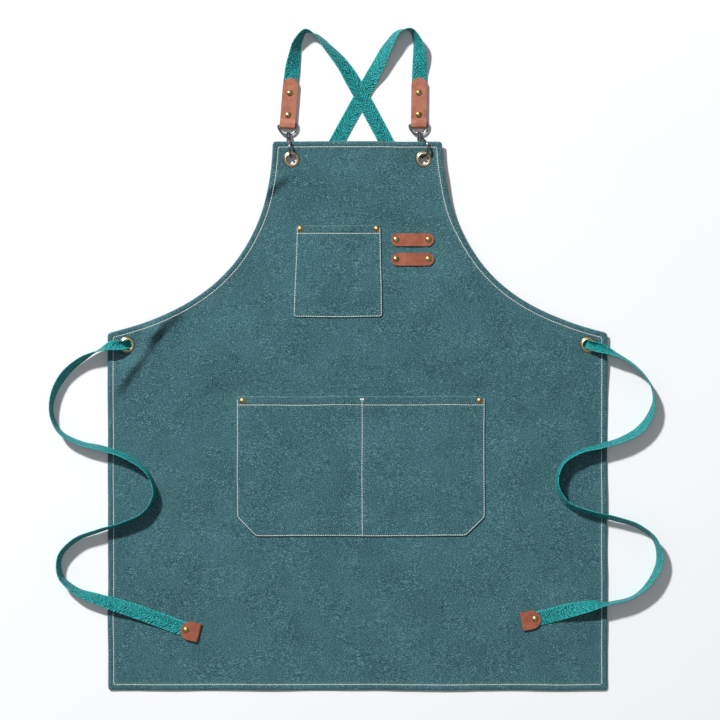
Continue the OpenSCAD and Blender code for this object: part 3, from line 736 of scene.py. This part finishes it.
def build_cloth(name, corners, depths, step, heights, holes=(), seams=(), hem=None):
    """A closed sheet: rings near its edge, and triangles inside them."""
    corners = np.asarray(corners, float)
    rings = [ring(corners, d, min(step, OUTLINE_STEP)) for d in depths]
    size = len(rings[0])
    inner, tris, rims = fill(corners, rings[-1], depths[-1], step, holes, seams)
    flat = np.vstack(rings[:-1] + [inner])
    e = np.concatenate([np.repeat(depths[:-1], size), np.full(size, depths[-1]),
                        edge_distance(inner[size:, 0], inner[size:, 1], corners)])
    flat = flat + drift(flat)
    top, under = heights(flat[:, 0], flat[:, 1], e)
    count = len(flat)
    points = np.vstack([np.column_stack([flat, top]), np.column_stack([flat, under])])

    j = np.arange(size)
    k = (j + 1) % size
    quads = [np.stack([r * size + j, r * size + k, (r + 1) * size + k, (r + 1) * size + j], 1)
             for r in range(len(rings) - 1)]
    quads = np.vstack(quads)
    tris = tris + (len(rings) - 1) * size
    walls = [np.stack([j + count, k + count, k, j], 1)]
    start = len(rings) * size
    for n in rims:
        h = start + np.arange(n)
        g = start + (np.arange(n) + 1) % n
        walls.append(np.stack([h, g, g + count, h + count], 1))
        start += n
    faces = (quads.tolist() + tris.tolist() + (quads[:, ::-1] + count).tolist()
             + (tris[:, ::-1] + count).tolist() + np.vstack(walls).tolist())
    piece = mesh_piece(name, points, faces, CANVAS)
    seam_gap = np.full(count, 1.0)
    for a, b in seams:
        seam_gap = np.minimum(seam_gap, segment_distance(flat[:, 0], flat[:, 1], a, b))
    wear = EDGE_WEAR * np.exp(-(e / 0.0009) ** 2)
    if hem:
        wear = np.maximum(wear, HEM_WEAR * np.exp(-((e - hem - 0.0012) / 0.0014) ** 2))
    wear = np.maximum(wear, SEAM_WEAR * np.exp(-(seam_gap / 0.0015) ** 2)).astype(np.float32)
    layer = piece.data.attributes.new("wear", "FLOAT", "POINT")
    layer.data.foreach_set("value", np.concatenate([wear, wear]))
    return piece


panel = build_cloth(
    "panel_canvas", PANEL, HEM_E, PANEL_STEP, panel_heights,
    holes=[(at, EYELET_HOLE_R) for at in EYELETS], hem=HEM_STITCH)
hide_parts("apron_panel")

# Height of a pocket's face over the panel, by distance from its edge
POCKET_E = (0, 0.0005, 0.0009, 0.0013, 0.0016, 0.0021, 0.0034, 0.006, 0.0085)
POCKET_TOP = (0.0009, 0.0017, 0.0019, 0.0016, 0.0011, 0.0015, 0.0017, 0.0013, 0.0011)
POCKET_STITCH = 0.0016
MOUTH_FOLD_Y = (0, 0.0006, 0.0015, 0.004, 0.0115)  # down from the mouth's edge
MOUTH_FOLD_TOP = (0.0011, 0.0015, 0.0018, 0.0018, MOUTH_T)
GROOVE = 0.00045  # how deep a seam sinks
GAPE = 0.0009  # how far a pocket's mouth stands off the panel


def pocket_heights(corners, mouth_y, openness, seams):
    """A function giving a pocket's face and back: puffed between seams, thicker at the mouth.
    openness is how much of the full gape its mouth has."""
    top_y = corners[:, 1].max()
    middle_x = (corners[:, 0].min() + corners[:, 0].max()) / 2
    span = (corners[:, 0].max() - corners[:, 0].min()) / 2

    def heights(x, y, e):
        base = panel_face(x, y)
        body = np.interp(e, POCKET_E, POCKET_TOP)
        mouth = ease(y, mouth_y - 0.0006, mouth_y + 0.0006)
        folded = np.interp(top_y - y, MOUTH_FOLD_Y, MOUTH_FOLD_TOP)
        sides = np.interp(e, (0, 0.0008, 0.002), (0.001, 0.0016, 0.002))
        body = body * (1 - mouth) + np.minimum(folded, sides) * mouth
        groove = np.zeros(np.shape(x))
        for a, b in seams:
            groove = np.maximum(groove, np.exp(-(segment_distance(x, y, a, b) / 0.0008) ** 2))
        bow = np.clip(1 - ((x - middle_x) / (0.92 * span)) ** 4, 0, 1)
        gape = GAPE * ease(y, mouth_y - 0.012, top_y) * bow
        loose = 0.0006 * noise(x, y, 0.045, 21) * ease(e, 0.003, 0.02)
        stray = 0.0002 * (noise(x, y, 0.007, 22) - 0.5) * ease(e, 0.0004, 0.002)
        gape = gape * near(x, y, HARDWARE, 0.006, 0.014) * openness
        lift = (gape + loose + stray) * near(x, y, HARDWARE, 0.006, 0.02)
        return base + body - GROOVE * groove + lift, base + 0.00004 + gape

    return heights


def pocket_seams(corners, mouth_y, extra=()):
    """The mouth's seam across the pocket, and any others."""
    x0, x1 = corners[:, 0].min(), corners[:, 0].max()
    return [((x0 + 0.001, mouth_y), (x1 - 0.001, mouth_y)), *extra]


chest_seams = pocket_seams(CHEST, CHEST_MOUTH_Y)
lower_seams = pocket_seams(
    LOWER, LOWER_MOUTH_Y,
    [((DIVIDER_X, LOWER_BOTTOM + POCKET_STITCH), (DIVIDER_X, DIVIDER_TOP))])
chest_heights = pocket_heights(CHEST, CHEST_MOUTH_Y, 1.0, chest_seams)
lower_heights = pocket_heights(LOWER, LOWER_MOUTH_Y, 0.8, lower_seams)
chest = build_cloth("chest_pocket_canvas", CHEST, POCKET_E, CHEST_STEP, chest_heights,
                    seams=chest_seams)
lower = build_cloth("lower_pocket_canvas", LOWER, POCKET_E, LOWER_STEP, lower_heights,
                    seams=lower_seams)
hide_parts("chest_pocket")
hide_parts("lower_pocket")

# ---------- stitches ----------

STITCH_PITCH = 0.0031
STITCH_LEN = 0.0026
STITCH_W = 0.0011
STITCH_SKEW = 0.12  # the widest angle between two stitches of a line, in radians
THREAD_LIFT = 0.0004  # of a stitch's middle over the cloth
# A stitch's rings: place along it and girth, as shares, and height
STITCH_STOPS = (-1, -0.75, 0, 0.75, 1)
STITCH_GIRTH = (0.35, 0.85, 1, 0.85, 0.35)
STITCH_ARCH = (-0.00045, 0, 0.0001, 0, -0.00045)
STITCH_SIDES = 6


def stitch_line(points, closed=False):
    """Middles and directions of the stitches along a line."""
    points = np.asarray(points, float)
    if closed:
        points = np.vstack([points, points[:1]])
    reach = np.concatenate([[0], np.cumsum(np.linalg.norm(np.diff(points, axis=0), axis=1))])
    at = np.arange(STITCH_PITCH / 2, reach[-1], STITCH_PITCH)

    def place(s):
        return np.column_stack([np.interp(s, reach, points[:, i]) for i in (0, 1)])

    return place(at), unit(place(at + STITCH_LEN / 3) - place(at - STITCH_LEN / 3))


def build_stitches(name, lines, height):
    """Short raised threads along the lines. height gives the cloth's face at x, y."""
    spots, ways = (np.vstack(part) for part in zip(*lines))
    spots = spots + drift(spots)
    rng = np.random.default_rng(5)
    skew = STITCH_SKEW * (rng.random(len(spots)) - 0.5)
    ways = unit(ways + np.column_stack([-ways[:, 1], ways[:, 0]]) * skew[:, None])
    sideways = np.column_stack([-ways[:, 1], ways[:, 0]])
    z = height(spots[:, 0], spots[:, 1]) + 0.0001 * rng.random(len(spots))
    stops = np.array(STITCH_STOPS) * STITCH_LEN / 2
    girth = np.array(STITCH_GIRTH) * STITCH_W / 2
    arch = np.array(STITCH_ARCH)
    a = np.linspace(0, 2 * math.pi, STITCH_SIDES, endpoint=False)
    u = np.repeat(stops, STITCH_SIDES)
    v = (girth[:, None] * np.cos(a)).ravel()
    w = (arch[:, None] + girth[:, None] * np.sin(a)).ravel()
    flat = (spots[:, None] + u[None, :, None] * ways[:, None]
            + v[None, :, None] * sideways[:, None])
    points = np.concatenate([flat, (z[:, None] + w[None])[..., None]], -1).reshape(-1, 3)
    one = tube_faces(len(stops), STITCH_SIDES)
    faces = [[i + n * len(u) for i in face] for n in range(len(spots)) for face in one]
    return mesh_piece(name, points, faces, TOPSTITCH)


def ring_points(corners, d):
    return ring(np.asarray(corners, float), d, OUTLINE_STEP, 1)


hem_points = ring_points(PANEL, HEM_STITCH)
hem_run, hem_way = stitch_line(hem_points, closed=True)
clear = near(hem_run[:, 0], hem_run[:, 1], EYELETS, 0.0125, 0.0126) > 0.5
hem_stitches = build_stitches(
    "hem_topstitch", [(hem_run[clear], hem_way[clear])],
    lambda x, y: panel_heights(x, y, np.full(np.shape(x), HEM_STITCH))[0] + THREAD_LIFT)


def pocket_stitches(name, corners, mouth_y, heights, extra=()):
    """Three stitched sides, the mouth, and any other lines."""
    outline = ring_points(corners, POCKET_STITCH)
    top = corners[:, 1].max() - 0.0026
    start = int(np.argmax(np.where(outline[:, 1] > top - 0.001, -outline[:, 0], -9)))
    outline = np.roll(outline, -start, 0)
    sides = outline[outline[:, 1] < top]
    beside = outline[np.abs(outline[:, 1] - mouth_y) < 0.004, 0]
    left, right = beside.min(), beside.max()
    lines = [stitch_line(sides), stitch_line([(left, mouth_y), (right, mouth_y)])]
    lines += [stitch_line(line) for line in extra]

    def face(x, y):
        return heights(x, y, edge_distance(x, y, corners))[0] + THREAD_LIFT

    return build_stitches(name, lines, face)


TACK_W = 0.006
bar_tack = [((DIVIDER_X - TACK_W / 2, DIVIDER_TOP - d), (DIVIDER_X + TACK_W / 2, DIVIDER_TOP - d))
            for d in (0, 0.0009, 0.0018)]
divider = [((DIVIDER_X, LOWER_BOTTOM + POCKET_STITCH), (DIVIDER_X, DIVIDER_TOP))]
chest_stitches = pocket_stitches("chest_pocket_topstitch", CHEST, CHEST_MOUTH_Y, chest_heights)
lower_stitches = pocket_stitches(
    "lower_pocket_topstitch", LOWER, LOWER_MOUTH_Y, lower_heights, divider + bar_tack)

# ---------- eyelets ----------

# Section of an eyelet's face: distance from the middle, height over the cloth, and wear
EYELET_SECTION = (
    (0.00702, -0.0016, 0.0), (0.007, -0.0004, 0.05), (0.00705, 0.0004, 0.2),
    (0.0073, 0.0009, 0.5), (0.0077, 0.00112, 1.0), (0.0082, 0.00105, 1.0),
    (0.0086, 0.00078, 0.7), (0.0089, 0.00068, 0.2), (0.0092, 0.00078, 0.1),
    (0.0097, 0.0009, 0.3), (0.0102, 0.00084, 0.35), (0.0107, 0.0006, 0.1),
    (0.01105, 0.0003, 0.05), (0.0112, 0.00002, 0.0), (0.0108, -0.0002, 0.0),
    (0.0078, -0.0002, 0.0), (0.0076, -0.0016, 0.0))
EYELET_TURNS = 72


def build_eyelet(name, at, hidden):
    """A turned eyelet: EYELET_SECTION spun about its middle."""
    section = np.array(EYELET_SECTION)
    a = np.linspace(0, 2 * math.pi, EYELET_TURNS, endpoint=False)[:, None]
    rim = section[:, 0] + 0 * a
    points = np.stack([at[0] + rim * np.cos(a), at[1] + rim * np.sin(a),
                       underside(at[1]) + SHEET_T + section[:, 1] + 0 * a], -1)
    sides = len(section)
    i = np.arange(EYELET_TURNS)[:, None] * sides
    n = (np.arange(EYELET_TURNS)[:, None] + 1) % EYELET_TURNS * sides
    j = np.arange(sides)[None]
    k = (j + 1) % sides
    faces = np.stack([i + j, n + j, n + k, i + k], -1).reshape(-1, 4)
    piece = mesh_piece(name, points.reshape(-1, 3), faces.tolist(), WORN_BRASS)
    layer = piece.data.attributes.new("polish", "FLOAT", "POINT")
    layer.data.foreach_set("value", np.tile(section[:, 2], EYELET_TURNS).astype(np.float32))
    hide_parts(hidden)
    return piece


for side, at_bib, at_waist in zip(("left", "right"), BIB_EYELETS, WAIST_EYELETS):
    build_eyelet(side + "_bib_ring", at_bib, side + "_bib_eyelet")
    build_eyelet(side + "_waist_ring", at_waist, side + "_waist_eyelet")

# ---------- metal and leather from the CAD ----------

METAL = {
    BRASS: ("loop_rivets", "chest_pocket_rivets", "lower_pocket_rivets", "panel_rivet_backs",
            "eyelet_washers", "left_tab_rivets", "right_tab_rivets", "left_tab_rivet_backs",
            "right_tab_rivet_backs", "left_end_rivet", "right_end_rivet",
            "left_end_rivet_back", "right_end_rivet_back"),
    NICKEL: ("left_swivel_eye", "right_swivel_eye", "left_hook", "right_hook", "left_bolt",
             "right_bolt", "left_bolt_spring", "right_bolt_spring"),
}
LEATHERS = {
    LEATHER: ("upper_tool_loop", "lower_tool_loop", "left_end_tab", "right_end_tab"),
    LIGHTER_LEATHER: ("left_hook_tab", "right_hook_tab"),
}


def finish_node(name, material, bevel=0.0):
    """Gives a CAD node its material, smooth faces and, if asked, eased edges."""
    node = nodes[name]
    node.data.materials.clear()
    node.data.materials.append(material)
    node.data.shade_smooth()
    node.data.set_sharp_from_angle(angle=math.radians(35))
    if bevel:
        ease_edges = node.modifiers.new("eased edges", "BEVEL")
        ease_edges.width = bevel
        ease_edges.segments = 3
        ease_edges.angle_limit = math.radians(40)
        ease_edges.harden_normals = True


for material, names in METAL.items():
    for name in names:
        finish_node(name, material)
for material, names in LEATHERS.items():
    for name in names:
        finish_node(name, material, 0.0006)

# ---------- the springs behind the snaps' bolts ----------

BOLT_TRAVEL = 0.005


def build_spring(side):
    """The CAD spring's shape again, as a piece of its own that rides on the snap."""
    cad = nodes[side + "_bolt_spring"].data
    slide = next(joint for joint in frame["joints"] if joint["name"] == side + "_bolt_slide")
    points = np.array([vertex.co for vertex in cad.vertices])
    faces = [list(face.vertices) for face in cad.polygons]
    spring = mesh_piece(side + "_coil", points, faces, NICKEL, side + "_snap")
    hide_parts(side + "_bolt_spring")
    along = points @ np.array(slide["axis"])
    tuple(points[along.argmax()].tolist())
    1 - BOLT_TRAVEL / np.ptp(along).item()
    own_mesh(spring)


for side in ("left", "right"):
    build_spring(side)

# ---------- floor and light ----------

floor_material = Nodes("floor", Roughness=0.9, Specular_IOR_Level=0.1)
floor_material.colour(floor_material.ramp(
    floor_material.noise(0.3, 2.0), [(0.2, "#f2f3f5"), (0.8, "#f4f5f7")]))
bpy.ops.mesh.primitive_plane_add(size=12, location=(0, 0, -0.0002))
floor = bpy.context.object
floor.name = "floor"
floor.data.materials.append(floor_material.material)

LIGHT_FROM = Vector((-0.59, 0.8, 0.88))
LIGHT_AWAY = 9.0  # far enough for crisp shadows, near enough to fade across the floor
LIGHT_SPREAD = math.radians(5)
LIGHT_STRENGTH = 3.9
lamp = bpy.data.objects.new("key_light", bpy.data.lights.new("key_light", "AREA"))
lamp.data.shape = "DISK"
lamp.data.size = 2 * LIGHT_AWAY * math.tan(LIGHT_SPREAD / 2)
lamp.data.energy = LIGHT_STRENGTH * math.pi * LIGHT_AWAY ** 2
lamp.location = LIGHT_FROM.normalized() * LIGHT_AWAY
lamp.rotation_euler = LIGHT_FROM.to_track_quat("Z", "Y").to_euler()
bpy.context.scene.collection.objects.link(lamp)

SKY = ((0.1, 0.01), (0.42, 0.33), (0.9, 0.1), (0.985, 0.9))
world = bpy.data.worlds.new("studio")
world.use_nodes = True
bpy.context.scene.world = world
tree = world.node_tree
parts = tree.nodes.new("ShaderNodeSeparateXYZ")
tree.links.new(tree.nodes.new("ShaderNodeTexCoord").outputs["Generated"], parts.inputs[0])
sky = tree.nodes.new("ShaderNodeValToRGB")
# dark low down, bright at a middle height like softboxes, and dim overhead
for _ in range(2):
    sky.color_ramp.elements.new(0.5)
for element, (at, shade) in zip(sky.color_ramp.elements, SKY):
    element.position = at
    element.color = (shade, shade, shade * 1.03, 1)
tree.links.new(parts.outputs["Z"], sky.inputs["Fac"])
tree.links.new(sky.outputs["Color"], tree.nodes["Background"].inputs["Color"])
bpy.context.scene.view_settings.view_transform = "Standard"
